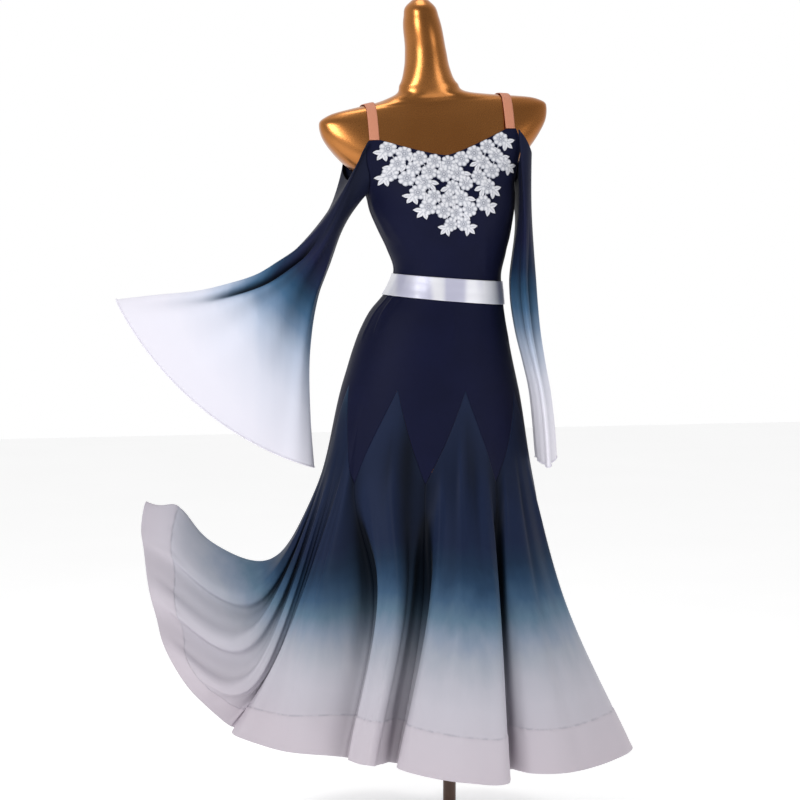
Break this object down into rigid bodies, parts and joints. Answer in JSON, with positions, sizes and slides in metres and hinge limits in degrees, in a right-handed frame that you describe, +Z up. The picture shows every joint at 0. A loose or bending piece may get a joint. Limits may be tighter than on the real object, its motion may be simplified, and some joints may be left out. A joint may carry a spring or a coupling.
{
  "type": "ballroom dance dress on a dress form",
  "caption": "Long ballroom dance dress with a laced bodice, satin belt, hip yoke, flared godet skirt, swept train and bell sleeves, worn by a limbless dress form on a stand",
  "frame": {"origin": "on the floor at the centre of the round base, under the pole", "axes": "+Z up along the pole; the dress faces -Y, and the wearer's left is +X, so the train and the swept sleeve go out to -X"},
  "size_m": [1.0165, 0.828, 1.669],
  "materials": {
    "navy_stretch": "matte stretch crepe",
    "shaded_satin": "soft satin, dyed from navy to pale lavender",
    "shaded_chiffon": "soft satin, dyed from navy to pale lavender",
    "silver_satin": "satin",
    "skin_elastic": "matte elastic",
    "white_lace": "matte corded lace",
    "gold_form": "gold metallic paint",
    "brown_stand": "satin brown"
  },
  "bodies": {
    "root": {"belt": "silver_satin", "bodice_back": "navy_stretch", "bodice_front": "navy_stretch", "form_base": "brown_stand", "form_pole": "brown_stand", "form_torso": "gold_form", "godet_1": "shaded_satin", "godet_2": "shaded_satin", "godet_3": "shaded_satin", "godet_4": "shaded_satin", "godet_5": "shaded_satin", "godet_6": "shaded_satin", "godet_7": "shaded_satin", "godet_8": "shaded_satin", "lace": "white_lace", "sleeve_left": "shaded_chiffon", "sleeve_right": "shaded_chiffon", "strap_left": "skin_elastic", "strap_right": "skin_elastic", "yoke_back": "navy_stretch", "yoke_front": "navy_stretch"}
  },
  "joints": []
}
